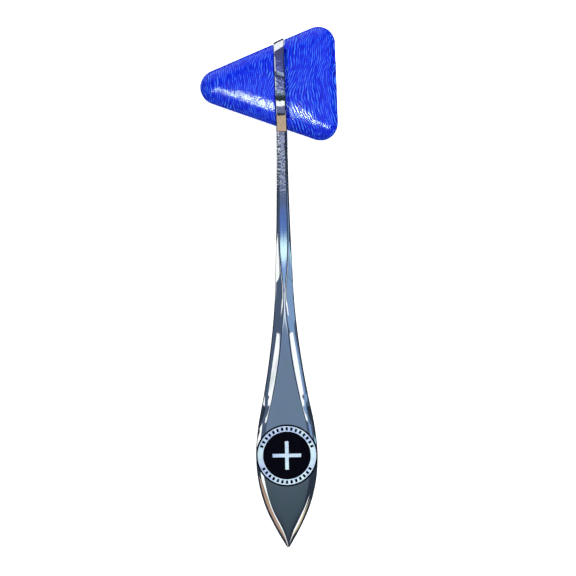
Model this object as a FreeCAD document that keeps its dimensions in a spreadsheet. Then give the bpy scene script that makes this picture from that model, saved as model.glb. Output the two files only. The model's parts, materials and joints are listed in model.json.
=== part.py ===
"""Reflex hammer: a triangular rubber head held in a metal loop, on a slim leaf-shaped handle.

The hammer is drawn face up, from the seat where the neck meets the loop: X runs towards the broad
end of the head, Y along the handle towards the head, and Z through the thickness. It is then laid
on the table plane Z = 0, where it rests on the back of the head and on the blade near its tip.
"""

import FreeCAD
import Part
import Sketcher

import math
import os

from FreeCAD import Placement, Rotation, Vector

OUT = "parts"
AXIS_X = -1
AXIS_Y = -2
ORIGIN = (-1, 1)
START = 1
END = 2
CENTRE = 3
UP = Vector(0, 0, 1)
TOUCH = 1e-4

# Driving dimensions in millimetres and degrees: alias, value, meaning.
SIZES = [
    ("head_centre", 16.75, "seat of the neck to the head's own axis"),
    ("head_nose_reach", 29.2, "loop centre to the tip of the narrow end"),
    ("head_base_reach", 20.6, "loop centre to the broad striking face"),
    ("head_nose_radius", 6.3, "outline radius of the narrow end"),
    ("head_corner_radius", 6.6, "outline radius of the two broad corners"),
    ("head_half_angle", 21.3, "slope of each long edge to the head's axis"),
    ("head_thickness", 16.0, "through the head"),
    ("head_edge_radius", 5.4, "rounding all round both broad faces"),
    ("head_turn", 1.2, "turn of the head and loop about the seat, nose down"),
    ("loop_width", 3.8, "width of the strip"),
    ("loop_thickness", 1.6, "thickness of the strip"),
    ("loop_corner", 4.4, "inside corner radius of the loop"),
    ("loop_inside_top", 31.0, "seat to the inside of the top run"),
    ("loop_outside_top", 32.9, "seat to the outside of the top run, at mid width"),
    ("loop_top_slope", 24.0, "slope of the top run, along the head's edge"),
    ("loop_edge_radius", 0.4, "rounding of the strip's outer edges"),
    ("badge_centre", 118.3, "seat to the badge's centre"),
    ("badge_radius", 11.3, "outside of the badge"),
    ("badge_rim", 0.6, "dark line round the badge"),
    ("badge_field_radius", 8.7, "dark field in the middle of the badge"),
    ("badge_film", 0.25, "thickness of the pale film"),
    ("badge_ink", 0.1, "thickness of the dark print"),
    ("badge_low_edge", 0.85, "height above the blade's mid plane where the film stops"),
    ("cross_length", 10.4, "arm to arm length of the plain cross in the field"),
    ("cross_width", 1.3, "arm width of the plain cross"),
]

# Sections of the handle: name, distance from the seat, full width, width of the flat land in the
# middle, height of the land over the mid plane, and height of the side over the mid plane.
SECTIONS = [
    ("neck_root", 0.0, 3.95, 3.20, 2.40, 1.95),
    ("neck_upper", 12.0, 4.20, 3.30, 2.38, 1.90),
    ("neck_middle", 24.0, 4.60, 3.60, 2.34, 1.80),
    ("neck_lower", 36.0, 5.20, 3.90, 2.30, 1.65),
    ("neck_foot", 48.0, 6.05, 3.10, 2.28, 1.20),
    ("ridge", 60.0, 6.95, 1.00, 2.26, 0.80),
    ("flare_start", 72.0, 9.00, 2.50, 2.18, 0.75),
    ("flare_low", 84.0, 12.10, 5.00, 2.08, 0.70),
    ("flare_high", 96.0, 16.10, 9.50, 1.98, 0.63),
    ("shoulder", 108.0, 20.70, 15.20, 1.92, 0.60),
    ("widest", 119.0, 22.50, 17.20, 1.90, 0.60),
    ("taper_start", 129.0, 20.55, 15.80, 1.88, 0.60),
    ("taper_middle", 138.0, 15.40, 10.90, 1.84, 0.60),
    ("taper_end", 146.0, 7.70, 3.20, 1.78, 0.55),
    ("tip", 151.7, 1.10, 0.40, 1.72, 0.45),
]
SECTION_COLUMNS = ("distance", "width", "land", "rise", "side")


def make_sheet(doc):
    """The spreadsheet that every sub-part reads its sizes from."""
    sheet = doc.addObject("Spreadsheet::Sheet", "sizes")
    row = 0
    for alias, value, meaning in SIZES:
        row += 1
        sheet.set(f"A{row}", meaning)
        sheet.set(f"B{row}", str(value))
        sheet.setAlias(f"B{row}", alias)
    for name, *values in SECTIONS:
        row += 1
        sheet.set(f"A{row}", name)
        for column, heading, value in zip("BCDEF", SECTION_COLUMNS, values):
            sheet.set(f"{column}{row}", str(value))
            sheet.setAlias(f"{column}{row}", f"{name}_{heading}")
    doc.recompute()
    return sheet


def new_body(doc, name):
    body = doc.addObject("PartDesign::Body", name)
    body.Label = name
    return body


def new_sketch(body, role, name):
    """A sketch attached to one of the body's own origin planes."""
    plane = next(f for f in body.Origin.OriginFeatures if f.Role == role)
    sketch = body.newObject("Sketcher::SketchObject", name)
    sketch.AttachmentSupport = [(plane, "")]
    sketch.MapMode = "FlatFace"
    return sketch


def relate(sketch, kind, *targets):
    return sketch.addConstraint(Sketcher.Constraint(kind, *targets))


def drive(sketch, kind, targets, value, name, expression):
    """Adds a dimension with a first value and binds it to the sheet."""
    index = relate(sketch, kind, *targets, value)
    sketch.renameConstraint(index, name)
    sketch.setExpression(f"Constraints.{name}", expression)


def add_line(sketch, first, last):
    return sketch.addGeometry(Part.LineSegment(Vector(*first, 0), Vector(*last, 0)))


def add_arc(sketch, centre, radius, first, last):
    """An arc run anticlockwise between two directions in radians."""
    circle = Part.Circle(Vector(*centre, 0), UP, radius)
    return sketch.addGeometry(Part.ArcOfCircle(circle, first, last))


def close_up(sketch, edges, kind):
    """Joins each edge's end to the next one's start, all the way round."""
    for here, there in zip(edges, edges[1:] + edges[:1]):
        relate(sketch, kind, here, END, there, START)


def add_polygon(sketch, points):
    edges = [add_line(sketch, first, last) for first, last in zip(points, points[1:] + points[:1])]
    close_up(sketch, edges, "Coincident")
    return edges


def corner_centre(sizes):
    """Where the upper broad corner's arc is centred, from the loop's centre."""
    slope = math.radians(sizes.head_half_angle)
    x = sizes.head_base_reach - sizes.head_corner_radius
    run = x + sizes.head_nose_reach - sizes.head_nose_radius
    narrowing = (sizes.head_nose_radius - sizes.head_corner_radius) / math.cos(slope)
    return x, run * math.tan(slope) + narrowing


def add_head_outline(sketch, sizes):
    """A triangle with three round corners, its axis along X and its broad end at +X."""
    slope = math.radians(sizes.head_half_angle)
    nose_radius = sizes.head_nose_radius
    corner_radius = sizes.head_corner_radius
    nose_x = nose_radius - sizes.head_nose_reach
    corner_x, corner_y = corner_centre(sizes)
    across = Vector(-math.sin(slope), math.cos(slope), 0)
    nose_top = (nose_x + nose_radius * across.x, nose_radius * across.y)
    corner_top = (corner_x + corner_radius * across.x, corner_y + corner_radius * across.y)
    quarter = math.pi / 2

    nose = add_arc(sketch, (nose_x, 0), nose_radius, quarter + slope, 3 * quarter - slope)
    lower = add_line(sketch, (nose_top[0], -nose_top[1]), (corner_top[0], -corner_top[1]))
    low_corner = add_arc(sketch, (corner_x, -corner_y), corner_radius, -quarter - slope, 0)
    base = add_line(sketch, (sizes.head_base_reach, -corner_y), (sizes.head_base_reach, corner_y))
    high_corner = add_arc(sketch, (corner_x, corner_y), corner_radius, 0, quarter + slope)
    upper = add_line(sketch, corner_top, nose_top)
    close_up(sketch, [nose, lower, low_corner, base, high_corner, upper], "Tangent")

    relate(sketch, "PointOnObject", nose, CENTRE, AXIS_X)
    relate(sketch, "Symmetric", base, START, base, END, AXIS_X)
    relate(sketch, "Equal", low_corner, high_corner)
    drive(sketch, "Radius", (nose,), nose_radius, "nose_radius", "sizes.head_nose_radius")
    drive(sketch, "Radius", (high_corner,), corner_radius, "corner_radius", "sizes.head_corner_radius")
    drive(sketch, "DistanceX", (nose, CENTRE, *ORIGIN), -nose_x, "nose_reach",
          "sizes.head_nose_reach - sizes.head_nose_radius")
    drive(sketch, "DistanceX", (*ORIGIN, base, END), sizes.head_base_reach, "base_reach",
          "sizes.head_base_reach")
    drive(sketch, "Angle", (AXIS_X, lower), -slope, "half_angle", "-sizes.head_half_angle * 1 deg")


def add_round_rectangle(sketch, low, high, depth, corner):
    """A rectangle with equal round corners, centred on the sketch's first axis.

    Each of low, high, depth and corner is a pair: its first value and its expression.
    """
    (bottom, _), (top, _), (full_depth, _), (radius, _) = low, high, depth, corner
    half = full_depth / 2
    quarter = math.pi / 2
    flat = half - radius
    edges = [
        add_line(sketch, (bottom, flat), (bottom, -flat)),
        add_arc(sketch, (bottom + radius, -flat), radius, 2 * quarter, 3 * quarter),
        add_line(sketch, (bottom + radius, -half), (top - radius, -half)),
        add_arc(sketch, (top - radius, -flat), radius, 3 * quarter, 4 * quarter),
        add_line(sketch, (top, -flat), (top, flat)),
        add_arc(sketch, (top - radius, flat), radius, 0, quarter),
        add_line(sketch, (top - radius, half), (bottom + radius, half)),
        add_arc(sketch, (bottom + radius, flat), radius, quarter, 2 * quarter),
    ]
    close_up(sketch, edges, "Tangent")
    relate(sketch, "Horizontal", edges[2])
    relate(sketch, "Horizontal", edges[6])
    relate(sketch, "Vertical", edges[4])
    relate(sketch, "Symmetric", edges[0], START, edges[0], END, AXIS_X)
    for arc in (edges[3], edges[5], edges[7]):
        relate(sketch, "Equal", edges[1], arc)
    tag = f"edge{edges[0]}"
    drive(sketch, "DistanceX", (*ORIGIN, edges[0], START), bottom, f"{tag}_low", low[1])
    drive(sketch, "DistanceX", (*ORIGIN, edges[4], START), top, f"{tag}_high", high[1])
    drive(sketch, "DistanceY", (edges[2], START, edges[6], END), full_depth, f"{tag}_depth", depth[1])
    drive(sketch, "Radius", (edges[1],), radius, f"{tag}_radius", corner[1])


def add_loop_inside(sketch, sizes):
    """The loop's inside, which is also the section of the head's waist.

    The waist is as deep as the strip is thick, so that the loop lies flush in both broad faces.
    """
    depth = sizes.head_thickness - 2 * sizes.loop_thickness
    add_round_rectangle(
        sketch,
        (sizes.loop_thickness, "sizes.loop_thickness"),
        (sizes.loop_inside_top, "sizes.loop_inside_top"),
        (depth, "sizes.head_thickness - 2 * sizes.loop_thickness"),
        (sizes.loop_corner, "sizes.loop_corner"),
    )


def add_pad(body, sketch, name, length):
    pad = body.newObject("PartDesign::Pad", name)
    pad.Profile = sketch
    pad.Midplane = True
    pad.setExpression("Length", length)
    return pad


def add_pocket(body, sketch, name, length):
    pocket = body.newObject("PartDesign::Pocket", name)
    pocket.Profile = sketch
    pocket.Midplane = True
    pocket.setExpression("Length", length)
    return pocket


def add_fillet(body, base, name, radius, chosen):
    """Rounds the edges of the base feature that the chosen test picks."""
    fillet = body.newObject("PartDesign::Fillet", name)
    picked = [f"Edge{i}" for i, edge in enumerate(base.Shape.Edges, 1) if chosen(edge)]
    fillet.Base = (base, picked)
    fillet.setExpression("Radius", radius)
    return fillet


def make_rubber_head(doc, sizes):
    """The moulded rubber head, with a waist all round that the loop closes on."""
    body = new_body(doc, "rubber_head")
    outline = new_sketch(body, "XY_Plane", "head_outline")
    outline.setExpression("AttachmentOffset.Base.y", "sizes.head_centre")
    add_head_outline(outline, sizes)
    slab = add_pad(body, outline, "head_slab", "sizes.head_thickness")
    doc.recompute()

    half = sizes.head_thickness / 2
    rounded = add_fillet(body, slab, "head_rounding", "sizes.head_edge_radius",
                         lambda edge: abs(abs(edge.CenterOfMass.z) - half) < TOUCH)
    doc.recompute()

    waist = new_sketch(body, "YZ_Plane", "head_waist")
    add_loop_inside(waist, sizes)
    clear = 2 * sizes.head_thickness
    above = sizes.head_centre + clear
    below = sizes.head_centre - clear
    edges = add_polygon(waist, [(below, -clear), (above, -clear), (above, clear), (below, clear)])
    relate(waist, "Horizontal", edges[0])
    relate(waist, "Horizontal", edges[2])
    relate(waist, "Vertical", edges[3])
    relate(waist, "Symmetric", edges[1], START, edges[1], END, AXIS_X)
    drive(waist, "DistanceX", (edges[0], START, *ORIGIN), -below, "cut_low",
          "2 * sizes.head_thickness - sizes.head_centre")
    drive(waist, "DistanceX", (*ORIGIN, edges[0], END), above, "cut_high",
          "2 * sizes.head_thickness + sizes.head_centre")
    drive(waist, "DistanceY", (edges[1], START, edges[1], END), 2 * clear, "cut_depth",
          "4 * sizes.head_thickness")
    cut = add_pocket(body, waist, "waist_cut", "sizes.loop_width")
    doc.recompute()
    removed = rounded.Shape.Volume - cut.Shape.Volume
    return body, removed


def make_head_loop(doc, sizes):
    """The flat strip that is bent into a closed loop round the head's waist."""
    body = new_body(doc, "head_loop")
    slope = math.tan(math.radians(sizes.loop_top_slope))
    section = new_sketch(body, "YZ_Plane", "loop_section")
    add_round_rectangle(
        section,
        (0.0, "0 mm"),
        (sizes.loop_outside_top + slope * sizes.loop_width,
         "sizes.loop_outside_top + sizes.loop_width * tan(sizes.loop_top_slope * 1 deg)"),
        (sizes.head_thickness, "sizes.head_thickness"),
        (sizes.loop_corner + sizes.loop_thickness, "sizes.loop_corner + sizes.loop_thickness"),
    )
    add_loop_inside(section, sizes)
    strip = add_pad(body, section, "loop_strip", "sizes.loop_width")
    doc.recompute()

    wedge = new_sketch(body, "XY_Plane", "loop_top_slope")
    reach = sizes.loop_width
    middle = sizes.loop_outside_top
    clear = middle + sizes.head_thickness
    edges = add_polygon(wedge, [(-reach, middle - slope * reach), (reach, middle + slope * reach),
                                (reach, clear), (-reach, clear)])
    relate(wedge, "Vertical", edges[1])
    relate(wedge, "Vertical", edges[3])
    relate(wedge, "Horizontal", edges[2])
    drive(wedge, "DistanceX", (edges[0], START, *ORIGIN), reach, "left", "sizes.loop_width")
    drive(wedge, "DistanceX", (*ORIGIN, edges[0], END), reach, "right", "sizes.loop_width")
    drive(wedge, "DistanceY", (*ORIGIN, edges[2], START), clear, "clear",
          "sizes.loop_outside_top + sizes.head_thickness")
    drive(wedge, "DistanceY", (*ORIGIN, edges[0], START), middle - slope * reach, "low_end",
          "sizes.loop_outside_top - sizes.loop_width * tan(sizes.loop_top_slope * 1 deg)")
    drive(wedge, "DistanceY", (*ORIGIN, edges[0], END), middle + slope * reach, "high_end",
          "sizes.loop_outside_top + sizes.loop_width * tan(sizes.loop_top_slope * 1 deg)")
    trimmed = add_pocket(body, wedge, "loop_top_trim", "2 * sizes.head_thickness")
    doc.recompute()

    half_width = sizes.loop_width / 2
    half_depth = sizes.head_thickness / 2
    add_fillet(body, trimmed, "loop_rounding", "sizes.loop_edge_radius",
               lambda edge: (edge.Length > sizes.loop_width
                             and abs(abs(edge.CenterOfMass.x) - half_width) < TOUCH
                             and abs(abs(edge.CenterOfMass.z) - half_depth) < TOUCH))
    doc.recompute()
    return body, strip.Shape.Volume - trimmed.Shape.Volume


def add_handle_section(body, name, sizes, angle):
    """An eight-sided section: a land and two bevels on each face, and two narrow sides."""
    sketch = new_sketch(body, "XZ_Plane", name)
    distance, width, land, rise, side = (getattr(sizes, f"{name}_{key}") for key in SECTION_COLUMNS)
    sketch.AttachmentOffset = Placement(Vector(0, 0, distance), Rotation(Vector(0, 1, 0), angle))
    sketch.setExpression("AttachmentOffset.Base.z", f"sizes.{name}_distance")
    edges = add_polygon(sketch, [
        (width / 2, side), (land / 2, rise), (-land / 2, rise), (-width / 2, side),
        (-width / 2, -side), (-land / 2, -rise), (land / 2, -rise), (width / 2, -side),
    ])
    relate(sketch, "Symmetric", edges[0], START, edges[2], END, AXIS_Y)
    relate(sketch, "Symmetric", edges[1], START, edges[1], END, AXIS_Y)
    relate(sketch, "Symmetric", edges[5], START, edges[5], END, AXIS_Y)
    relate(sketch, "Symmetric", edges[3], START, edges[3], END, AXIS_X)
    relate(sketch, "Symmetric", edges[7], START, edges[7], END, AXIS_X)
    relate(sketch, "Symmetric", edges[1], START, edges[5], END, AXIS_X)
    drive(sketch, "DistanceX", (edges[2], END, edges[0], START), width, "width", f"sizes.{name}_width")
    drive(sketch, "DistanceX", (edges[1], END, edges[1], START), land, "land", f"sizes.{name}_land")
    drive(sketch, "DistanceY", (*ORIGIN, edges[1], START), rise, "rise", f"sizes.{name}_rise")
    drive(sketch, "DistanceY", (*ORIGIN, edges[0], START), side, "side", f"sizes.{name}_side")
    return sketch


def make_handle(doc, sizes):
    """The forged neck and blade, one smooth loft through its sections."""
    body = new_body(doc, "handle")
    names = [section[0] for section in SECTIONS]
    sketches = [add_handle_section(body, names[0], sizes, sizes.head_turn)]
    sketches += [add_handle_section(body, name, sizes, 0) for name in names[1:]]
    doc.recompute()
    loft = body.newObject("PartDesign::AdditiveLoft", "handle_loft")
    loft.Profile = sketches[0]
    loft.Sections = sketches[1:]
    loft.Ruled = False
    doc.recompute()
    widest = max(width for _, _, width, *_ in SECTIONS)
    if loft.Shape.optimalBoundingBox(False, False).XLength > 1.02 * widest:
        raise RuntimeError("the loft swells past its widest section")
    return body


def badge_column(sizes, radius):
    """A round column through the blade at the badge, open below where the badge stops."""
    base = Vector(0, -sizes.badge_centre, sizes.badge_low_edge)
    return Part.makeCylinder(radius, sizes.head_thickness, base)


def layer_over(shape, low, high, column):
    """What the column cuts from the layer between two heights over the shape's front face."""
    return shape.translated(high * UP).common(column).cut(shape.translated(low * UP))


def make_badge(doc, sizes, blade):
    """The round badge on the front of the blade: a pale film and the dark print on it."""
    film_top = sizes.badge_film
    print_top = film_top + sizes.badge_ink
    rim = badge_column(sizes, sizes.badge_radius)
    rim = rim.cut(badge_column(sizes, sizes.badge_radius - sizes.badge_rim))
    field = badge_column(sizes, sizes.badge_field_radius)
    for long_x, long_y in ((sizes.cross_length, sizes.cross_width), (sizes.cross_width, sizes.cross_length)):
        corner = Vector(-long_x / 2, -sizes.badge_centre - long_y / 2, 0)
        field = field.cut(Part.makeBox(long_x, long_y, 2 * sizes.head_thickness, corner))

    film = doc.addObject("Part::Feature", "badge_film")
    film.Shape = layer_over(blade, 0, film_top, badge_column(sizes, sizes.badge_radius))
    ink = doc.addObject("Part::Feature", "badge_print")
    ink.Shape = layer_over(blade, film_top, print_top, rim.fuse(field))
    return [film, ink]


def lying_angle(sizes):
    """How far the hammer tips, tail down, until the blade meets the table that the head lies on.

    The head's back is flat as far as the rounding round it, and touches at the lower broad corner.
    """
    rounding = sizes.head_edge_radius
    flat_end = corner_centre(sizes)[1] + sizes.head_corner_radius - rounding
    angles = []
    for _, distance, _, _, rise, _ in SECTIONS[len(SECTIONS) // 2:]:
        along = distance + sizes.head_centre - flat_end
        drop = sizes.head_thickness / 2 - rounding - rise
        angles.append(math.atan2(drop, along) + math.asin(rounding / math.hypot(along, drop)))
    return math.degrees(min(angles))


def lay_down(head_pieces, handle_pieces, sizes):
    """Turns the head on the handle, lays the hammer on the table and centres it on the origin."""
    tip = Placement(Vector(), Rotation(Vector(1, 0, 0), lying_angle(sizes)))
    turn = Placement(Vector(), Rotation(UP, sizes.head_turn))
    box = FreeCAD.BoundBox()
    for piece, placement in [(p, tip * turn) for p in head_pieces] + [(p, tip) for p in handle_pieces]:
        piece.Placement = placement
        placed = piece.Shape.copy()
        box.add(placed.optimalBoundingBox(False, False))
    shift = Placement(Vector(-box.Center.x, -box.Center.y, -box.ZMin), Rotation())
    for piece in head_pieces + handle_pieces:
        piece.Placement = shift * piece.Placement
    return shift.Base


def check(doc, pieces):
    """Stops if any feature failed or any sub-part is not one or more valid solids."""
    for item in doc.Objects:
        if "Invalid" in item.State or "Error" in item.State:
            raise RuntimeError(f"{item.Name} failed: {item.State}")
    for piece in pieces:
        if piece.Shape.isNull() or not piece.Shape.isValid() or not piece.Shape.Solids:
            raise RuntimeError(f"{piece.Label} has no valid solid")


def main():
    os.makedirs(OUT, exist_ok=True)
    doc = FreeCAD.newDocument("reflex_hammer")
    sizes = make_sheet(doc)

    head, waist_removed = make_rubber_head(doc, sizes)
    loop, slope_removed = make_head_loop(doc, sizes)
    if min(waist_removed, slope_removed) <= 0:
        raise RuntimeError("a pocket cut nothing")
    handle = make_handle(doc, sizes)
    badge = make_badge(doc, sizes, handle.Shape)
    doc.recompute()

    shift = lay_down([head, loop], [handle] + badge, sizes)
    doc.recompute()
    pieces = [head, loop, handle] + badge
    check(doc, pieces)

    print(f"lying angle {lying_angle(sizes):.3f} degrees, seat at {shift}")
    for piece in pieces:
        piece.Shape.exportStep(os.path.join(OUT, f"{piece.Label}.step"))
        box = piece.Shape.optimalBoundingBox(False, False)
        print(f"{piece.Label}: {len(piece.Shape.Solids)} solid(s), {piece.Shape.Volume:.1f} mm3,"
              f" {box.XLength:.2f} x {box.YLength:.2f} x {box.ZLength:.2f} mm")


main()
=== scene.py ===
"""The reflex hammer's visible pieces, its studio and its camera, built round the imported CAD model."""

import itertools
import json
import math

import bmesh
import bpy
import numpy as np
from mathutils import Matrix, Vector, noise


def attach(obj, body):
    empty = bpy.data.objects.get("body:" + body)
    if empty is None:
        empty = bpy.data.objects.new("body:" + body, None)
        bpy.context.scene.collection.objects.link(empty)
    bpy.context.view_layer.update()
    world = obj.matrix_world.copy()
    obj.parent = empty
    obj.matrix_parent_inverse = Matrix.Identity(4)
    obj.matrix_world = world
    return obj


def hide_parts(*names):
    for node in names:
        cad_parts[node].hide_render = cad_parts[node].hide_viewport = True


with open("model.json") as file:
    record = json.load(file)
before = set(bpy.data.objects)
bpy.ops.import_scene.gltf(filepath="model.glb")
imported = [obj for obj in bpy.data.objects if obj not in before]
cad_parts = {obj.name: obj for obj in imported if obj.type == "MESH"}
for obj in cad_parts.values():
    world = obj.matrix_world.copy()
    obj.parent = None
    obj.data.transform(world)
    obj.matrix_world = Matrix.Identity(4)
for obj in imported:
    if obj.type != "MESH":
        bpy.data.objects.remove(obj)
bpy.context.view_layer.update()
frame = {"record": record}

MM = 0.001
BODY = "root"

# The hammer's shape, in millimetres, as the CAD model has it. The head's own axes start at its
# centre, and other places are measured from the seat, where the neck meets the loop.
HEAD_CENTRE = 16.75
BASE_REACH = 20.6
NOSE_REACH = 29.2
HEAD_HALF_DEPTH = 8.0
LOOP_WIDTH = 3.8
LOOP_THICKNESS = 1.6
LOOP_TOP = 32.9 - HEAD_CENTRE
LOOP_TOP_SLOPE = math.tan(math.radians(24.0))
WAIST_TOP = 31.0 - HEAD_CENTRE
BADGE_CENTRE = 118.3
BADGE_RADIUS = 11.3
BADGE_RIM = 0.6
BADGE_FIELD = 8.7
CROSS_LENGTH = 10.4
CROSS_WIDTH = 1.3

# The head's outline, one radius at all three corners, and its rounded edge: how far in from the
# outline the edge runs, and how deep it drops.
CORNER_HALF_HEIGHT = 14.35
OUTLINE_RADIUS = 6.4
EDGE_AT_NOSE = 9.2
EDGE_IN_MIDDLE = 11.2
EDGE_AT_BASE = 4.2
DROP_ON_SIDES = 6.65
DROP_AT_BASE = 4.0

# The visible loop: the length and the roundness of its bend below, how far the bend goes past the
# seat, its corners above, and the seam across its front.
LOOP_BEND = 15.8
LOOP_BEND_POWER = 1.5
LOOP_SUNK = 1.8
LOOP_TOP_CORNER = 5.0
LOOP_SEAM = 19.7 - HEAD_CENTRE

# The rubber's wrinkles, the gap beside the loop, and the dashes round the badge.
WRINKLE_PITCH = 0.82
WRINKLE_DEPTH = 0.12
GAP_WIDTH = 1.0
GAP_DEPTH = 2.4
GAP_HALF_LENGTH = 12.4
DASH_STEP = 10
DASH_LENGTH = 1.2
DASH_UPPER_ARC = 70
DASH_LOWER_ARC = 60

# Along the handle: distance from the seat, full width, width of the land, height of the land
# over the mid plane, and height of the side.
SECTIONS = np.array([
    (0.0, 3.95, 3.20, 2.40, 1.95),
    (12.0, 4.20, 3.30, 2.38, 1.90),
    (24.0, 4.60, 3.60, 2.34, 1.80),
    (36.0, 5.20, 3.90, 2.30, 1.65),
    (48.0, 6.05, 3.10, 2.28, 1.20),
    (60.0, 6.95, 1.00, 2.26, 0.80),
    (72.0, 9.00, 2.50, 2.18, 0.75),
    (84.0, 12.10, 5.00, 2.08, 0.70),
    (96.0, 16.10, 9.50, 1.98, 0.63),
    (108.0, 20.70, 15.20, 1.92, 0.60),
    (119.0, 22.50, 17.20, 1.90, 0.60),
    (129.0, 20.55, 15.80, 1.88, 0.60),
    (138.0, 15.40, 10.90, 1.84, 0.60),
    (146.0, 7.70, 3.20, 1.78, 0.55),
    (151.7, 1.10, 0.40, 1.72, 0.45),
])


# ---- Where things are ----

def placement(x_axis, z_axis, origin):
    """A matrix from millimetres in a piece's own axes to the row's metres."""
    y_axis = z_axis.cross(x_axis)
    turn = Matrix((x_axis, y_axis, z_axis)).transposed().to_4x4()
    return Matrix.Translation(origin) @ turn @ Matrix.Scale(MM, 4)


def find_placements():
    """The head's axes, centred in the loop, and the handle's, starting at the seat."""
    mounts = {mount["name"]: mount for mount in frame["record"]["mounts"]}
    broad_end = Vector(mounts["striking_face"]["axis"]).normalized()
    face = -Vector(mounts["head_back"]["axis"]).normalized()
    centre = Vector(mounts["striking_face"]["pos_m"]) - BASE_REACH * MM * broad_end
    head = placement(broad_end, face, centre)
    seat = head @ Vector((0, -HEAD_CENTRE, 0))
    across = Vector((1, 0, 0))
    return head, placement(across, face, seat)


HEAD, HANDLE = find_placements()


# ---- Mesh tools ----

def add_piece(name, points, faces, place, material, slot, *nodes):
    """A smooth-shaded piece from points in millimetres, standing for the named CAD nodes."""
    spread = np.asarray(points, dtype=float)
    matrix = np.array(place)
    mesh = bpy.data.meshes.new(name)
    mesh.from_pydata((spread @ matrix[:3, :3].T + matrix[:3, 3]).tolist(), [], faces)
    mesh.validate()
    mesh.shade_smooth()
    mesh.materials.append(material)
    piece = bpy.data.objects.new(name, mesh)
    bpy.context.scene.collection.objects.link(piece)
    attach(piece, BODY)
    if nodes:
        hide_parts(*nodes)
    return piece


def set_point_values(piece, name, values):
    """Stores a value at each point of a piece, for its material to read by that name."""
    piece.data.attributes.new(name, "FLOAT", "POINT").data.foreach_set("value", values)


def smoothstep(low, high, value):
    """A smooth step from 0 to 1 between low and high, or down again where low is the larger."""
    part = np.clip((value - low) / (high - low), 0, 1)
    return part * part * (3 - 2 * part)


def smooth_max(first, second, blend):
    """The larger of two fields, rounded over where they are within blend of each other."""
    near = np.maximum(blend - np.abs(first - second), 0) / blend
    return np.maximum(first, second) + near * near * blend / 4


def surface_net(distance, low, high, cell):
    """Quads round a signed distance's zero surface, with a vertex in each cell that it crosses."""
    counts = [int(math.ceil((b - a) / cell)) + 1 for a, b in zip(low, high)]
    axes = [a + cell * np.arange(n) for a, n in zip(low, counts)]
    grid = np.stack(np.meshgrid(*axes, indexing="ij"), axis=-1)
    inside = distance(grid.reshape(-1, 3)).reshape(counts) < 0
    filled = np.zeros([n - 1 for n in counts], dtype=int)
    for i, j, k in itertools.product((0, 1), repeat=3):
        filled += inside[i:counts[0] - 1 + i, j:counts[1] - 1 + j, k:counts[2] - 1 + k]
    crossed = (filled > 0) & (filled < 8)
    index = np.full(crossed.shape, -1)
    index[crossed] = np.arange(crossed.sum())
    points = grid[:-1, :-1, :-1][crossed] + cell / 2

    quads = []
    for axis in range(3):
        ends = np.diff(inside.astype(int), axis=axis)
        at = np.argwhere(ends != 0)
        outward = ends[tuple(at.T)] < 0
        second, third = (axis + 1) % 3, (axis + 2) % 3
        ring = []
        for back_second, back_third in ((1, 1), (0, 1), (0, 0), (1, 0)):
            cells = at.copy()
            cells[:, second] -= back_second
            cells[:, third] -= back_third
            ring.append(index[tuple(cells.T)])
        ring = np.stack(ring, axis=1)
        ring[~outward] = ring[~outward][:, ::-1]
        quads.append(ring)
    return points, np.concatenate(quads)


def slope_of(distance, points, step=0.01):
    """The gradient of a field, by differences."""
    parts = []
    for axis in range(3):
        shift = np.zeros(3)
        shift[axis] = step
        parts.append((distance(points + shift) - distance(points - shift)) / (2 * step))
    return np.stack(parts, axis=1)


def settle(points, distance):
    """Moves points onto a field's zero surface."""
    for _ in range(3):
        slope = slope_of(distance, points)
        size = np.maximum((slope * slope).sum(axis=1), 1e-6)
        points = points - slope * (distance(points) / size)[:, None]
    return points


def relax(points, quads, distance, rounds):
    """Evens out a mesh along the surface that it lies on."""
    first = quads.ravel()
    second = np.roll(quads, -1, axis=1).ravel()
    share = np.bincount(first, minlength=len(points)) + np.bincount(second, minlength=len(points))
    for _ in range(rounds):
        total = np.zeros_like(points)
        for axis in range(3):
            total[:, axis] = np.bincount(first, points[second, axis], len(points))
            total[:, axis] += np.bincount(second, points[first, axis], len(points))
        points = settle((points + total / share[:, None]) / 2, distance)
    return points


# ---- Rubber head ----

def triangle_distance(x, y):
    """Distance in plan from the head's outline, a triangle with round corners, negative inside.

    Deep inside, the long sides' distances blend, so that the head's middle has no crease.
    """
    nose = OUTLINE_RADIUS - NOSE_REACH
    base = BASE_REACH - OUTLINE_RADIUS
    corners = np.array([(nose, 0.0), (base, -CORNER_HALF_HEIGHT), (base, CORNER_HALF_HEIGHT)])
    far = 1e3
    blend = 4.0
    nearest = np.full_like(x, np.inf)
    inner = np.full_like(x, -np.inf)
    soft = np.full_like(x, -far)
    for start, end in zip(corners, np.roll(corners, -1, axis=0)):
        side = end - start
        dx = x - start[0]
        dy = y - start[1]
        along = np.clip((dx * side[0] + dy * side[1]) / (side @ side), 0, 1)
        nearest = np.minimum(nearest, np.hypot(dx - along * side[0], dy - along * side[1]))
        depth = (dx * side[1] - dy * side[0]) / math.hypot(*side)
        inner = np.maximum(inner, depth)
        soft = smooth_max(soft, depth, blend)
    return np.where(inner < 0, np.minimum(soft, 0), nearest) - OUTLINE_RADIUS


def oval_distance(y, z):
    """Distance from the inside of the metal loop, which is bent to a point below and is square above."""
    bend = LOOP_BEND - LOOP_THICKNESS
    half_depth = HEAD_HALF_DEPTH - LOOP_THICKNESS
    bottom = LOOP_THICKNESS - HEAD_CENTRE - LOOP_SUNK
    below = np.maximum(bottom + bend - y, 0) / bend
    power = LOOP_BEND_POWER
    reach = (below ** power + (np.abs(z) / half_depth) ** power) ** (1 / power)
    return np.maximum((reach - 1) * half_depth, y - WAIST_TOP)


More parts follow.
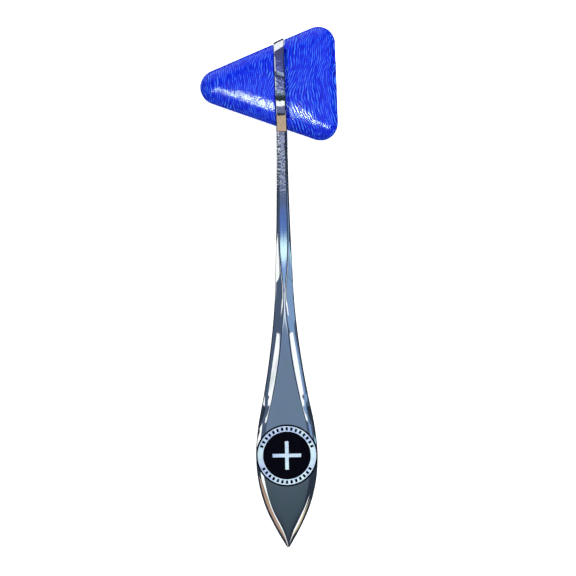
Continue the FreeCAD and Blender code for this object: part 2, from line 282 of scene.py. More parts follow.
def edge_profile(share):
    """Height of the head's edge, from 0 at the outline to 1 on the face, by the share of the way in.

    It is an elliptic side, then an almost flat bevel, then a soft turn into the face. Each part
    starts at the slope that the one before it ends with.
    """
    side_end = 0.478
    side_reach = 0.717
    side_rise = 0.902
    bevel_end = 0.837
    bevel_slope = 0.445
    bevel_bend = 0.273
    turn_slope = 0.249
    turn_bend = 0.764
    total_rise = 0.9954
    side = side_rise * np.sqrt(1 - (1 - np.clip(share, 0, side_end) / side_reach) ** 2)
    along_bevel = np.clip(share - side_end, 0, bevel_end - side_end)
    bevel = bevel_slope * along_bevel - bevel_bend * along_bevel ** 2
    along_turn = np.clip(share - bevel_end, 0, 1 - bevel_end)
    turn = turn_slope * along_turn - turn_bend * along_turn ** 2
    return np.clip((side + bevel + turn) / total_rise, 0, 1)


def head_distance(points):
    """Signed distance from the smooth rubber head, with its waist and the gap beside the loop."""
    x, y, z = points.T
    past_nose = smoothstep(-5.0, 8.0, x)
    near_base = smoothstep(13.0, 19.5, x)
    spread = EDGE_AT_NOSE + (EDGE_IN_MIDDLE - EDGE_AT_NOSE) * past_nose
    spread -= (EDGE_IN_MIDDLE - EDGE_AT_BASE) * near_base
    drop = DROP_ON_SIDES + (DROP_AT_BASE - DROP_ON_SIDES) * near_base
    face_crown = 0.0012
    crown = face_crown * (x * x + y * y)
    from_outline = triangle_distance(x, y)
    height = edge_profile(-from_outline / spread)
    out = np.where(from_outline < 0, np.sqrt(1 - height * height), 1 + from_outline / spread)
    over = np.maximum((np.abs(z) + crown - HEAD_HALF_DEPTH + drop) / drop, 0)
    solid = (np.hypot(out, over) - 1) * drop
    side_play = 0.12
    seat_play = 0.15
    lip = 0.3
    groove = np.maximum(np.abs(x) - LOOP_WIDTH / 2 - side_play, -oval_distance(y, z) - seat_play)
    gap_middle = LOOP_WIDTH / 2 + 0.4 * GAP_WIDTH
    gap = np.maximum(np.abs(x - gap_middle) - GAP_WIDTH / 2, -solid - GAP_DEPTH)
    gap = np.maximum(gap, np.abs(y) - GAP_HALF_LENGTH)
    return smooth_max(solid, np.maximum(-groove, -gap), lip)


def wrinkle(point):
    """Height of the fine wavy wrinkles at a point on the head, from 0 in the folds to 1 on the crests.

    They run like the lines of a fingerprint, mainly in the handle's direction. A broad drift bends
    them, a small ripple makes them uneven, and a break-up ends them here and there.
    """
    place = Vector(point)
    drift = noise.noise(Vector((place.x / 18, place.y / 9, place.z / 11)) + Vector((3, 1, 4)))
    ripple = noise.noise(place / 2.4 + Vector((7, 3, 1)))
    drift_reach = 3.6
    ripple_reach = 0.42
    slant = 0.35
    across = place.x + slant * abs(place.z) + drift_reach * drift + ripple_reach * ripple
    wave = 0.5 + 0.5 * math.cos(2 * math.pi * across / WRINKLE_PITCH)
    break_up = noise.noise(Vector((across / 0.9, place.y / 2.2, place.z / 1.6)))
    return min(max(wave ** 2 * (1.0 + 1.1 * break_up), 0), 1)


def make_head(material):
    """The wrinkled rubber head, whose height its material reads as crest for painted shade and highlight."""
    cell = 0.24
    margin = 1.0
    half_height = 22.0  # a little over the outline's own
    low = (-NOSE_REACH - margin, -half_height, -HEAD_HALF_DEPTH - margin)
    high = (BASE_REACH + margin, half_height, HEAD_HALF_DEPTH + margin)
    points, quads = surface_net(head_distance, low, high, cell)
    points = relax(settle(points, head_distance), quads, head_distance, rounds=3)
    slope = slope_of(head_distance, points)
    normal = slope / np.linalg.norm(slope, axis=1)[:, None]
    height = np.array([wrinkle(point) for point in points.tolist()])
    crest_inset = 0.02
    points = points - normal * (crest_inset + WRINKLE_DEPTH * (1 - height))[:, None]
    piece = add_piece("rubber_head_wrinkled", points, quads.tolist(), HEAD, material, "head_rubber",
                      "rubber_head")
    # The crest height also drives the material's painted shade in the folds and painted highlight on the
    # crests.
    set_point_values(piece, "crest", height)
    return piece


# ---- Metal loop ----

def signed_power(value, power):
    return math.copysign(abs(value) ** power, value)


def loop_path():
    """Points and outward directions along the strip's middle, round the loop in the head's Y and Z.

    It runs round the pointed bend below, up the back, over the two top corners, and down the front.
    """
    inset = LOOP_THICKNESS / 2
    half = HEAD_HALF_DEPTH - inset
    bend = LOOP_BEND - inset
    bend_end = bend - HEAD_CENTRE - LOOP_SUNK + inset
    top = LOOP_TOP - inset
    corner_y = top - LOOP_TOP_CORNER
    corner_z = half - LOOP_TOP_CORNER
    rise = np.linspace(bend_end, corner_y, 40)[1:-1]

    path = []
    for angle in np.linspace(0.5 * math.pi, 1.5 * math.pi, 121):
        share_y = signed_power(math.cos(angle), 2 / LOOP_BEND_POWER)
        share_z = signed_power(math.sin(angle), 2 / LOOP_BEND_POWER)
        slope_y = signed_power(share_y, LOOP_BEND_POWER - 1)
        slope_z = signed_power(share_z, LOOP_BEND_POWER - 1)
        outward = Vector((half * slope_y, bend * slope_z)).normalized()
        path.append((bend_end + bend * share_y, half * share_z, outward))
    path += [(y, -half, Vector((0, -1))) for y in rise]
    path += corner_path(corner_y, -corner_z, 1.5 * math.pi)
    path += [(top, z, Vector((1, 0))) for z in np.linspace(-corner_z, corner_z, 12)[1:-1]]
    path += corner_path(corner_y, corner_z, 0.0)
    path += [(y, half, Vector((0, 1))) for y in rise[::-1]]
    return path


def corner_path(centre_y, centre_z, start):
    """A quarter turn round one of the loop's top corners."""
    path = []
    for angle in np.linspace(start, start + 0.5 * math.pi, 17):
        outward = Vector((math.cos(angle), math.sin(angle)))
        path.append((centre_y + LOOP_TOP_CORNER * outward.x, centre_z + LOOP_TOP_CORNER * outward.y, outward))
    return path


def strip_section(width, thickness, radius, crown, steps):
    """Points (across, outward) round a flat strip's section, its outer face slightly crowned."""
    section = []
    for side_x, side_y, start in ((1, 1, 0.0), (-1, 1, 0.5), (-1, -1, 1.0), (1, -1, 1.5)):
        for step in range(steps + 1):
            angle = math.pi * (start + 0.5 * step / steps)
            across = side_x * (width / 2 - radius) + radius * math.cos(angle)
            outward = side_y * (thickness / 2 - radius) + radius * math.sin(angle)
            section.append((across, outward))
        if (side_x, side_y) == (1, 1):
            flat = 0.85
            for share in np.linspace(flat, -flat, 9):
                across = share * (width / 2 - radius)
                section.append((across, thickness / 2 + crown * (1 - share * share)))
    return section


def ring_faces(rings, count, closed):
    """Quads between rings of points that follow one another, each of them count points round."""
    faces = []
    for i in range(rings if closed else rings - 1):
        after_i = (i + 1) % rings
        for j in range(count):
            after_j = (j + 1) % count
            faces.append((i * count + j, i * count + after_j, after_i * count + after_j, after_i * count + j))
    return faces


def seam_depth(across, y):
    """Depth of the slanted seam across the front of the strip."""
    slant = 0.35
    half_width = 0.42
    return 0.13 * math.exp(-((y - LOOP_SEAM + slant * across) / half_width) ** 2)


def make_loop(material):
    """The metal strip round the head, cut at a slant above, with a rougher skin below its seam."""
    path = loop_path()
    section = strip_section(LOOP_WIDTH, LOOP_THICKNESS - 0.1, radius=0.32, crown=0.05, steps=5)
    points = []
    for y, z, outward in path:
        for across, out in section:
            sunk = seam_depth(across, y) if z > 0 and out > 0 else 0
            at_y = y + (out - sunk) * outward.x
            at_z = z + (out - sunk) * outward.y
            rise = LOOP_TOP_SLOPE * across * smoothstep(6.0, 13.0, at_y)
            points.append((across, at_y + rise, at_z))
    faces = ring_faces(len(path), len(section), closed=True)
    piece = add_piece("head_loop_strip", points, faces, HEAD, material, "polished_chrome", "head_loop")
    skin = 0.25
    more_below_seam = 0.55
    below_seam = [float(smoothstep(3.5, 2.5, y) * smoothstep(-8.0, -5.0, y)) for _, y, _ in points]
    set_point_values(piece, "cast_skin", [skin + more_below_seam * share for share in below_seam])


# ---- Handle ----

def along_sections(distance):
    """Width, land, rise and side at a distance from the seat, by a smooth curve through SECTIONS."""
    at = SECTIONS[:, 0]
    slopes = np.gradient(SECTIONS[:, 1:], at, axis=0)
    after = int(np.clip(np.searchsorted(at, distance), 1, len(at) - 1))
    before = after - 1
    span = at[after] - at[before]
    share = (distance - at[before]) / span
    start_weight = (1 + 2 * share) * (1 - share) ** 2
    end_weight = share * share * (3 - 2 * share)
    values = start_weight * SECTIONS[before, 1:] + end_weight * SECTIONS[after, 1:]
    values += span * share * (1 - share) ** 2 * slopes[before]
    values -= span * share * share * (1 - share) * slopes[after]
    return values


def bevel_hollow(distance):
    """How far the blade's bevels are polished down at their outer edge, towards the shoulder."""
    deepest = 0.25
    places = (95.5, 96.5, 100.5, 109.0, 126.0)
    return float(np.interp(distance, places, (0, 0.08 * deepest, deepest, deepest, 0)))


def face_height(x, distance):
    """Height of the handle's front at x: a nearly flat land, and a bevel on each side.

    The bevels are nearly flat on the neck, and on the blade they bow, getting steeper outwards.
    """
    width, land, rise, side = along_sections(distance)
    reach = np.abs(x)
    bevel = (width - land) / 2
    softness = min(0.25, 0.2 * land)
    land_crown = 0.04
    beyond = reach - land / 2
    beyond = (beyond + np.sqrt(beyond * beyond + softness * softness)) / 2
    share = np.minimum(beyond / max(bevel, 1e-3), 1)
    bow = 0.05 + 0.4 * float(smoothstep(67.0, 74.0, distance))
    fall = (rise - side) * ((1 - bow) * share + bow * share * share) + bevel_hollow(distance) * share
    crown = land_crown * np.minimum(reach / (land / 2), 1) ** 2
    return rise - fall - crown * (1 - share)


def handle_section(distance):
    """The closed section of the handle: front, right side, back, left side."""
    width, land, rise, side = along_sections(distance)
    edge = min(0.28, side * 0.8, width * 0.2)
    corner = land / 2
    fine = min(0.3, 0.4 * corner)
    inner = list(np.linspace(0, corner - fine, 6)) + list(corner + fine * np.linspace(-0.6, 1, 5))
    outer = list(np.linspace(corner + fine, width / 2 - 0.35 * edge, 10)[1:])
    right = np.array(inner + outer)
    x = np.concatenate([-right[:0:-1], right])
    z = face_height(x, distance)
    side_z = np.linspace(side - edge, edge - side, 5)
    half = width / 2
    front = list(zip(x, z))
    right_side = [(half, value) for value in side_z]
    back = [(value, -height) for value, height in reversed(front)]
    left_side = [(-half, -value) for value in side_z]
    return front + right_side + back + left_side


def make_handle(material):
    """Neck and blade in one piece, stepped in a little inside the loop, with a cast skin at the top."""
    length = SECTIONS[-1, 0]
    step = 0.4
    fine_from = 136.0
    stations = list(np.arange(step / 2, fine_from, step)) + list(np.linspace(fine_from, length, 80))
    step_in = ((-LOOP_THICKNESS / 2, 0.9), (-0.1, 0.93))
    rings = [[(x, -distance, share * z) for x, z in handle_section(0.0)] for distance, share in step_in]
    rings += [[(x, -distance, z) for x, z in handle_section(distance)] for distance in stations]
    count = len(rings[0])
    points = [point for ring in rings for point in ring]
    faces = ring_faces(len(rings), count, closed=False)
    faces.append(tuple(range(count))[::-1])
    faces.append(tuple(len(points) - count + j for j in range(count)))
    piece = add_piece("handle_blade_and_neck", points, faces, HANDLE, material, "polished_chrome", "handle")
    for cap in piece.data.polygons[-2:]:
        cap.use_smooth = False
    set_point_values(piece, "cast_skin", [1 - float(smoothstep(14.0, 27.0, -y)) for _, y, _ in points])


# ---- Badge ----

def blade_half_width(y):
    return float(along_sections(-y)[0]) / 2


def blade_height(x, y):
    return float(face_height(np.array([x]), -y)[0])


def polar_sheet(inner, outer, keep=lambda turn: True):
    """A flat ring round the badge's centre in one-degree steps, with only the turns that keep accepts."""
    turns = 360
    spacing = 0.4
    sheet = bmesh.new()
    radii = np.linspace(inner, outer, max(2, int((outer - inner) / spacing) + 2))
    rings = []
    for radius in radii:
        ring = []
        for turn in range(turns):
            angle = 2 * math.pi * turn / turns
            ring.append(sheet.verts.new((radius * math.sin(angle), radius * math.cos(angle), 0)))
        rings.append(ring)
    for near, far in zip(rings, rings[1:]):
        for turn in filter(keep, range(turns)):
            after = (turn + 1) % turns
            sheet.faces.new((near[turn], far[turn], far[after], near[after]))
    bmesh.ops.delete(sheet, geom=[vert for vert in sheet.verts if not vert.link_faces], context="VERTS")
    return sheet


def cut_cross(sheet):
    """Cuts a plain cross out of a flat sheet."""
    arms = (CROSS_LENGTH / 2, CROSS_WIDTH / 2)
    for axis, offset, side in itertools.product((0, 1), arms, (-1, 1)):
        across = Vector((1, 0, 0)) if axis == 0 else Vector((0, 1, 0))
        everything = sheet.verts[:] + sheet.edges[:] + sheet.faces[:]
        bmesh.ops.bisect_plane(sheet, geom=everything, plane_co=side * offset * across, plane_no=across)
    inside = []
    for face in sheet.faces:
        middle = face.calc_center_median()
        reach = sorted((abs(middle.x), abs(middle.y)))
        if reach[0] < CROSS_WIDTH / 2 and reach[1] < CROSS_LENGTH / 2:
            inside.append(face)
    bmesh.ops.delete(sheet, geom=inside, context="FACES")


def lay_on_blade(name, sheet, low, high, material, slot, *nodes):
    """Thickens a flat sheet and lays it on the front of the blade, between two heights over it."""
    base = sheet.faces[:]
    raised = bmesh.ops.extrude_face_region(sheet, geom=base, use_keep_orig=True)
    lifted = {item for item in raised["geom"] if isinstance(item, bmesh.types.BMVert)}
    for vert in sheet.verts:
        y = vert.co.y - BADGE_CENTRE
        limit = blade_half_width(y)
        x = max(-limit, min(limit, vert.co.x))
        vert.co = (x, y, blade_height(x, y) + (high if vert in lifted else low))
    bmesh.ops.recalc_face_normals(sheet, faces=sheet.faces[:])
    points = [vert.co[:] for vert in sheet.verts]
    for number, vert in enumerate(sheet.verts):
        vert.index = number
    faces = [[vert.index for vert in face.verts] for face in sheet.faces]
    sheet.free()
    return add_piece(name, points, faces, HANDLE, material, slot, *nodes)


def is_dash(turn):
    """Whether a turn from the badge's top is inside one of the dashes of its upper and lower arcs."""
    half_dash = DASH_STEP / 4
    from_top = abs((turn + 180) % 360 - 180)
    on_arc = from_top <= DASH_UPPER_ARC + half_dash or from_top >= 180 - DASH_LOWER_ARC - half_dash
    return on_arc and (turn + half_dash) % DASH_STEP < 2 * half_dash


def make_badge(film, ink):
    """The pale film, and on it the printed rim line, centre field with a cross, and dashes."""
    film_layer = (0.02, 0.12)
    print_layer = (0.10, 0.15)
    printed = (*print_layer, ink, "badge_ink", "badge_print")
    centre = 0.02
    inside_rim = BADGE_RADIUS - BADGE_RIM
    disc = polar_sheet(centre, BADGE_RADIUS)
    lay_on_blade("badge_film_disc", disc, *film_layer, film, "badge_film", "badge_film")
    lay_on_blade("badge_rim_line", polar_sheet(inside_rim, BADGE_RADIUS), *printed)
    field = polar_sheet(centre, BADGE_FIELD)
    cut_cross(field)
    lay_on_blade("badge_field", field, *printed)
    middle = (BADGE_FIELD + inside_rim) / 2
    dashes = polar_sheet(middle - DASH_LENGTH / 2, middle + DASH_LENGTH / 2, is_dash)
    lay_on_blade("badge_dashes", dashes, *printed)


# ---- Materials ----

def new_material(name):
    material = bpy.data.materials.new(name)
    material.use_nodes = True
    tree = material.node_tree
    return material, tree, tree.nodes["Principled BSDF"]


def add_node(tree, kind, **values):
    node = tree.nodes.new(kind)
    for key, value in values.items():
        if hasattr(node, key):
            setattr(node, key, value)
        else:
            node.inputs[key].default_value = value
    return node


def noise_texture(tree, scale, detail=3.0, roughness=0.6, stretch=None):
    """Noise in the hammer's own metres, optionally stretched; returns its value socket."""
    texture = add_node(tree, "ShaderNodeTexNoise")
    texture.inputs["Scale"].default_value = scale
    texture.inputs["Detail"].default_value = detail
    texture.inputs["Roughness"].default_value = roughness
    place = add_node(tree, "ShaderNodeTexCoord").outputs["Object"]
    if stretch:
        mapping = add_node(tree, "ShaderNodeMapping")
        mapping.inputs["Scale"].default_value = stretch
        tree.links.new(place, mapping.inputs["Vector"])
        place = mapping.outputs["Vector"]
    tree.links.new(place, texture.inputs["Vector"])
    return texture.outputs["Fac"]


def ramp(tree, value, stops):
    """A colour ramp through (position, colour) stops; returns its colour socket."""
    node = add_node(tree, "ShaderNodeValToRGB")
    elements = node.color_ramp.elements
    while len(elements) < len(stops):
        elements.new(1.0)
    for element, (position, colour) in zip(elements, stops):
        element.position = position
        element.color = (*colour, 1)
    tree.links.new(value, node.inputs["Fac"])
    return node.outputs["Color"]


def scaled(tree, value, low, high):
    """Maps a value from 0..1 to low..high."""
    node = add_node(tree, "ShaderNodeMapRange")
    node.inputs["To Min"].default_value = low
    node.inputs["To Max"].default_value = high
    tree.links.new(value, node.inputs["Value"])
    return node.outputs["Result"]


def times(tree, first, second):
    node = add_node(tree, "ShaderNodeMath", operation="MULTIPLY")
    tree.links.new(first, node.inputs[0])
    tree.links.new(second, node.inputs[1])
    return node.outputs["Value"]


def bump(tree, height, depth_mm, before=None):
    """A bump of that depth, on top of an earlier bump if there is one; returns its normal socket."""
    node = add_node(tree, "ShaderNodeBump")
    node.inputs["Strength"].default_value = 1.0
    node.inputs["Distance"].default_value = depth_mm * MM
    tree.links.new(height, node.inputs["Height"])
    if before:
        tree.links.new(before, node.inputs["Normal"])
    return node.outputs["Normal"]


def rubber_material():
    """Royal blue rubber: painted shade in the folds, painted highlight on the crests, a fine matt grain."""
    material, tree, shader = new_material("blue_wrinkled_rubber")
    crest = add_node(tree, "ShaderNodeAttribute", attribute_name="crest").outputs["Fac"]
    # The crest ramp paints shade into the folds and a highlight onto the crests.
    colour = ramp(tree, crest, [(0.0, (0.0, 0.006, 0.42)), (0.3, (0.001, 0.020, 0.74)),
                                (0.6, (0.003, 0.038, 0.86)), (1.0, (0.07, 0.27, 0.95))])
    tree.links.new(colour, shader.inputs["Base Color"])
    shader.inputs["Specular IOR Level"].default_value = 0.3
    grain = noise_texture(tree, 2600.0)
    tree.links.new(scaled(tree, grain, 0.15, 0.25), shader.inputs["Roughness"])
    tree.links.new(bump(tree, grain, 0.012), shader.inputs["Normal"])
    return material


def chrome_material():
    """Polished chrome plate: faint wipe marks and hairlines, and a speckle where cast_skin is high."""
    material, tree, shader = new_material("polished_chrome_plate")
    shader.inputs["Metallic"].default_value = 1.0
    skin = add_node(tree, "ShaderNodeAttribute", attribute_name="cast_skin").outputs["Fac"]
    speckle = noise_texture(tree, 1500.0, detail=2.0)
    spots = times(tree, skin, ramp(tree, speckle, [(0.38, (1, 1, 1)), (0.54, (0, 0, 0))]))
    tint = ramp(tree, noise_texture(tree, 160.0, detail=1.0),
                [(0.35, (0.76, 0.83, 0.83)), (0.5, (0.79, 0.83, 0.86)), (0.65, (0.81, 0.82, 0.88))])
    mix = add_node(tree, "ShaderNodeMix", data_type="RGBA")
    for socket in mix.inputs:
        if socket.identifier == "A_Color":
            tree.links.new(tint, socket)
        elif socket.identifier == "B_Color":
            socket.default_value = (0.34, 0.35, 0.39, 1)
    tree.links.new(spots, mix.inputs["Factor"])
    mixed = next(socket for socket in mix.outputs if socket.identifier == "Result_Color")
    tree.links.new(mixed, shader.inputs["Base Color"])
    smudge = noise_texture(tree, 70.0, detail=4.0)
    tree.links.new(scaled(tree, smudge, 0.015, 0.055), shader.inputs["Roughness"])
    hairline = noise_texture(tree, 900.0, detail=2.0, stretch=(1.0, 0.05, 1.0))
    fine = bump(tree, hairline, 0.0015)
    peel = times(tree, skin, noise_texture(tree, 1100.0, detail=1.0))
    tree.links.new(bump(tree, peel, 0.035, fine), shader.inputs["Normal"])
    return material


def film_material():
    """Pale satin plastic film, a little uneven in tone."""
    material, tree, shader = new_material("badge_pale_film")
    tone = ramp(tree, noise_texture(tree, 160.0), [(0.4, (0.42, 0.53, 0.76)), (0.6, (0.60, 0.78, 0.84))])
    tree.links.new(tone, shader.inputs["Base Color"])
    shader.inputs["Specular IOR Level"].default_value = 0.15
    tree.links.new(scaled(tree, noise_texture(tree, 1800.0), 0.3, 0.5), shader.inputs["Roughness"])
    return material


def ink_material():
    """Near-black print with a fine grain and hardly any gloss."""
    material, tree, shader = new_material("badge_black_ink")
    grain = noise_texture(tree, 2200.0)
    tree.links.new(ramp(tree, grain, [(0.3, (0.001, 0.001, 0.003)), (0.7, (0.004, 0.004, 0.008))]),
                   shader.inputs["Base Color"])
    tree.links.new(scaled(tree, grain, 0.5, 0.7), shader.inputs["Roughness"])
    shader.inputs["Specular IOR Level"].default_value = 0.0
    return material


# ---- Studio and camera ----

# The camera's height over the hammer's face and the width that its picture covers, the middle of
# the picture along and beside the handle, the handle's lean in it, and what hangs over the hammer.
CAMERA_DISTANCE = 900.0
FRAME_WIDTH = 210.2
VIEW_CENTRE = 57.3
VIEW_SIDESTEP = 2.27
HANDLE_LEAN = math.radians(0.907)
CARD_HEIGHT = 450.0
LOOP_CARD_HEIGHT = 800.0
BOARD_HEIGHT = 1000.0
BOARD_WIDTH = 300.0
CARD_WHITE = (1.25, 1.25, 1.22)


def emission(name, colour):
    """A glowing material; returns it, its node tree and its emission node."""
    material = bpy.data.materials.new(name)
    material.use_nodes = True
    tree = material.node_tree
    tree.nodes.clear()
    glow = add_node(tree, "ShaderNodeEmission")
    glow.inputs["Color"].default_value = (*colour, 1)
    out = add_node(tree, "ShaderNodeOutputMaterial")
    tree.links.new(glow.outputs["Emission"], out.inputs["Surface"])
    return material, tree, glow


def add_rectangle(name, matrix, width, height, material):
    """A stage rectangle of that many millimetres, in the XY plane of the given matrix."""
    half_x = width / 2 * MM
    half_y = height / 2 * MM
    corners = [(-half_x, -half_y, 0), (half_x, -half_y, 0), (half_x, half_y, 0), (-half_x, half_y, 0)]
    mesh = bpy.data.meshes.new(name)
    mesh.from_pydata(corners, [], [(0, 1, 2, 3)])
    mesh.materials.append(material)
    card = bpy.data.objects.new(name, mesh)
    card.matrix_world = matrix
    bpy.context.scene.collection.objects.link(card)
    return card


def hide_but_in_gloss(card):
    """Leaves a card to be seen only in reflections."""
    card.visible_camera = False
    card.visible_shadow = False
    card.visible_diffuse = False


def over_view(x, y, z):
    """A matrix at a place over the hammer, level with its face, from the middle of the picture."""
    level = HANDLE.to_3x3().normalized().to_4x4()
    return Matrix.Translation(HANDLE @ Vector((x, y - VIEW_CENTRE, z))) @ level


def facing_hammer(direction, distance):
    """A matrix at a distance from the picture's middle in a direction, with its Z axis away from it."""
    target = HANDLE @ Vector((0, -VIEW_CENTRE, 0))
    away = (HANDLE.to_3x3() @ Vector(direction)).normalized()
    turn = away.to_track_quat("Z", "Y").to_matrix().to_4x4()
    return Matrix.Translation(target + away * distance * MM) @ turn


def add_card(name, left, right, low, high, colour, turn=0, height=CARD_HEIGHT):
    """A glowing card over the hammer that only reflections see.

    Its left and right edges are angles from straight up. Its low and high edges are millimetres
    along the handle from the middle of the picture, and count up towards the head.
    """
    left_x = height * math.tan(math.radians(left))
    right_x = height * math.tan(math.radians(right))
    place = over_view((left_x + right_x) / 2, (low + high) / 2, height)
    place = place @ Matrix.Rotation(math.radians(turn), 4, "Z")
    card = add_rectangle(name, place, right_x - left_x, high - low, emission(name, colour)[0])
    hide_but_in_gloss(card)


def add_wall_card(name, direction, distance, width, height, colour):
    """A glowing card that faces the hammer from a direction, and that only reflections see."""
    place = facing_hammer(direction, distance)
    card = add_rectangle(name, place, width, height, emission(name, colour)[0])
    hide_but_in_gloss(card)


def add_overhead_board():
    """The board over the hammer that its flat faces mirror to the camera, in bands across the handle.

    Each tone is placed by the distance from the seat at which a level handle would show it.
    """
    tones = [
        (-33.0, (0.09, 0.095, 0.28)), (-21.0, (0.08, 0.09, 0.30)), (-19.0, (0.26, 0.30, 0.68)),
        (-10.0, (0.28, 0.32, 0.68)), (0.0, (0.50, 0.54, 0.66)), (14.0, (0.54, 0.57, 0.68)),
        (22.0, (0.15, 0.19, 0.34)), (29.0, (0.11, 0.15, 0.28)), (33.0, (0.11, 0.19, 0.48)),
        (40.0, (0.09, 0.19, 0.54)), (43.0, (0.90, 1.24, 1.32)), (49.0, (0.92, 1.24, 1.30)),
        (50.5, (0.22, 0.36, 0.70)), (59.0, (0.28, 0.45, 0.76)), (62.0, (0.92, 1.02, 1.18)),
        (72.0, (0.92, 1.02, 1.18)), (76.0, (0.17, 0.25, 0.40)), (95.0, (0.175, 0.245, 0.35)),
        (118.0, (0.17, 0.24, 0.35)), (132.0, (0.085, 0.118, 0.15)), (148.0, (0.065, 0.095, 0.12)),
        (170.0, (0.04, 0.05, 0.07)),
    ]
    spread = 1 + BOARD_HEIGHT / CAMERA_DISTANCE
    unevenness = 0.011
    first, last = tones[0][0], tones[-1][0]
    length = (last - first) * spread
    middle = (VIEW_CENTRE - (first + last) / 2) * spread
    material, tree, glow = emission("board_tones", (1, 1, 1))
    place = add_node(tree, "ShaderNodeSeparateXYZ")
    tree.links.new(add_node(tree, "ShaderNodeTexCoord").outputs["Object"], place.inputs["Vector"])
    along = add_node(tree, "ShaderNodeMapRange")
    along.inputs["From Min"].default_value = length / 2 * MM
    along.inputs["From Max"].default_value = -length / 2 * MM
    swirl = scaled(tree, noise_texture(tree, 26.0, detail=3.0), -unevenness, unevenness)
    stirred = add_node(tree, "ShaderNodeMath", operation="ADD")
    tree.links.new(place.outputs["Y"], stirred.inputs[0])
    tree.links.new(swirl, stirred.inputs[1])
    tree.links.new(stirred.outputs["Value"], along.inputs["Value"])
    stops = [((distance - first) / (last - first), colour) for distance, colour in tones]
    tree.links.new(ramp(tree, along.outputs["Result"], stops), glow.inputs["Color"])
    board = add_rectangle("overhead_board", over_view(0, middle, BOARD_HEIGHT), BOARD_WIDTH, length, material)
    hide_but_in_gloss(board)


def add_area_light(name, direction, distance, width, height, watts, turn=0, diffuse=True, glossy=True):
    """A lamp that faces the hammer from a direction, turned in its own plane by some degrees."""
    lamp = bpy.data.lights.new(name, "AREA")
    lamp.shape = "RECTANGLE"
    lamp.size = width * MM
    lamp.size_y = height * MM
    lamp.energy = watts
    light = bpy.data.objects.new(name, lamp)
    light.matrix_world = facing_hammer(direction, distance) @ Matrix.Rotation(math.radians(turn), 4, "Z")
    light.visible_diffuse = diffuse
    light.visible_glossy = glossy
    bpy.context.scene.collection.objects.link(light)
    return light


def light_only(light, piece):
    """Lets a light fall on one piece and nothing else."""
    lit = bpy.data.collections.new(light.name + "_lit")
    lit.objects.link(piece)
    light.light_linking.receiver_collection = lit


def floor_material():
    """Plain white floor that glows, as if lit from below, so that it takes hardly any shadow."""
    material, tree, shader = new_material("white_floor")
    shader.inputs["Base Color"].default_value = (0.9, 0.9, 0.9, 1)
    shader.inputs["Roughness"].default_value = 0.8
    shader.inputs["Specular IOR Level"].default_value = 0.0
    shader.inputs["Emission Color"].default_value = (1, 1, 1, 1)
    shader.inputs["Emission Strength"].default_value = 0.75
    return material


def add_blade_cards():
    """What the blade's and the neck's slanted bevels mirror to the camera."""
    pale_blue = (0.25, 0.385, 0.63)
    cyan = (0.45, 0.75, 0.95)
    slate = (0.084, 0.119, 0.19)
    teal_grey = (0.10, 0.15, 0.185)
    brown = (0.55, 0.34, 0.24)
    gold = (0.75, 0.60, 0.35)

    # The two bright streaks towards the shoulder, on cards that lean along them.
    lean = 8.1
    add_card("left_blade_card", -45, -22, -20.5, -3.5, CARD_WHITE, turn=-lean)
    add_card("right_blade_card", 25, 45, -15, 2, CARD_WHITE, turn=lean)

    # The roof-shaped part over them, dark on the left and pale blue on the right.
    behind = CARD_HEIGHT + 10
    for name, left, right in (("left_slate_card", -66, -16), ("right_slate_card", 16, 66)):
        add_card(name, left, right, -60, 60, slate, height=behind)
    add_card("right_ridge_card", 46, 58, -60, 12, pale_blue)
    add_card("right_ridge_upper_card", 26, 52, 0, 60, pale_blue, height=CARD_HEIGHT + 5)

    # The neck's bevels.
    add_card("left_neck_card", -82, -58, -80, 30, CARD_WHITE)
    add_card("right_neck_card", 66, 76, -20, 14, cyan)
    add_card("right_neck_lower_card", 58.5, 70, -60, -21, pale_blue)

    # The blade's bevels beside the badge, and below it down to the tip.
    for name, left, right in (("left_middle_card", -66, -20), ("right_middle_card", 20, 66)):
        add_card(name, left, right, -130, -60.5, teal_grey)
    add_card("left_tip_card", -54, -20, -226, -135, CARD_WHITE)
    add_card("left_tip_inner_card", -40, -14, -345, -235, CARD_WHITE)
    add_card("left_tip_brown_card", -66, -42, -640, -250, brown)
    add_card("right_tip_card", 36, 52, -520, -285, CARD_WHITE)
    add_card("right_tip_gold_card", 52, 64, -700, -430, gold)


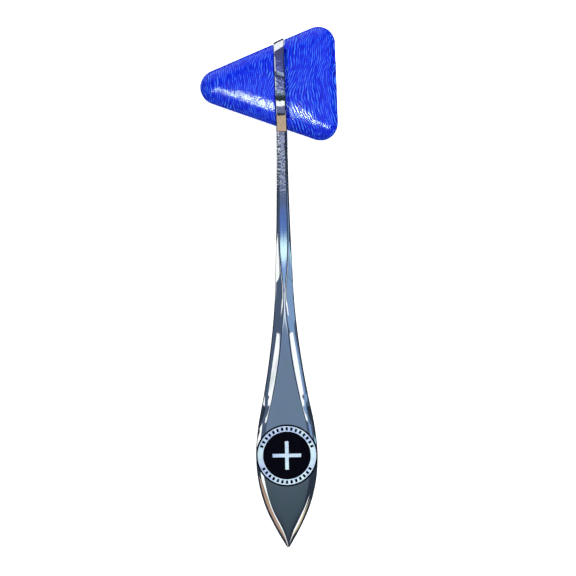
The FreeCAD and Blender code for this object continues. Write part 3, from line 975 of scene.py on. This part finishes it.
def add_loop_cards():
    """What the metal loop mirrors where it bends away from the camera, below, above and beside."""
    add_card("loop_band_card", -13, 9, -393, -268, CARD_WHITE, height=LOOP_CARD_HEIGHT)
    add_card("loop_shade_card", -13, 9, -592, -394, (0.18, 0.20, 0.34), height=LOOP_CARD_HEIGHT)
    add_card("loop_top_card", -72, 9, 128, 1500, (0.088, 0.090, 0.21))
    add_wall_card("tan_wall_card", (0, -1, 0.577), distance=700, width=600, height=540,
                  colour=(0.62, 0.46, 0.30))
    add_wall_card("left_wall_card", (-1, 0.21, 0.25), distance=700, width=120, height=300,
                  colour=(0.9, 0.95, 1.1))
    add_wall_card("top_wall_card", (-0.45, 1, 0.12), distance=700, width=760, height=1000,
                  colour=(1.1, 1.12, 1.15))


def add_lamps(rubber_head):
    """A narrow softbox for the streak along the rubber, a sheen card over it, and an even fill."""
    softbox = add_area_light("head_softbox", (-0.248, -0.379, 1), distance=796, width=240, height=80,
                             watts=10.8, turn=20, diffuse=False)
    softbox.data.color = (0.80, 1.0, 0.60)
    light_only(softbox, rubber_head)
    add_card("head_sheen_card", -37, -9, 110, 290, (1.0, 1.05, 1.1), height=BOARD_HEIGHT)
    add_area_light("fill_light", (0.1, 0.2, 1), distance=1600, width=1800, height=1800, watts=40,
                   glossy=False)


def make_studio(rubber_head):
    floor_size = 6000
    floor = add_rectangle("floor", Matrix.Identity(4), floor_size, floor_size, floor_material())
    floor.visible_shadow = False
    floor.visible_glossy = False

    world = bpy.data.worlds.new("studio")
    world.use_nodes = True
    background = world.node_tree.nodes["Background"]
    background.inputs["Color"].default_value = (0.030, 0.040, 0.060, 1)
    background.inputs["Strength"].default_value = 1.0
    bpy.context.scene.world = world

    add_overhead_board()
    add_blade_cards()
    add_loop_cards()
    add_lamps(rubber_head)


def make_camera():
    """Looks straight down on the hammer's face, turned so that the handle leans a little."""
    axes = HANDLE.to_3x3().normalized().to_4x4() @ Matrix.Rotation(-HANDLE_LEAN, 4, "Z")
    target = HANDLE.translation + axes.to_3x3() @ Vector((VIEW_SIDESTEP, -VIEW_CENTRE, 0)) * MM
    above = axes.to_3x3() @ Vector((0, 0, CAMERA_DISTANCE * MM))
    lens = bpy.data.cameras.new("camera")
    lens.sensor_width = 36
    lens.lens = 36 * CAMERA_DISTANCE / FRAME_WIDTH
    lens.clip_end = 20
    camera = bpy.data.objects.new("camera", lens)
    camera.matrix_world = Matrix.Translation(target + above) @ axes
    bpy.context.scene.collection.objects.link(camera)
    bpy.context.scene.camera = camera


chrome = chrome_material()
rubber_head = make_head(rubber_material())
make_loop(chrome)
make_handle(chrome)
make_badge(film_material(), ink_material())
make_studio(rubber_head)
make_camera()
bpy.context.scene.view_settings.view_transform = "Standard"
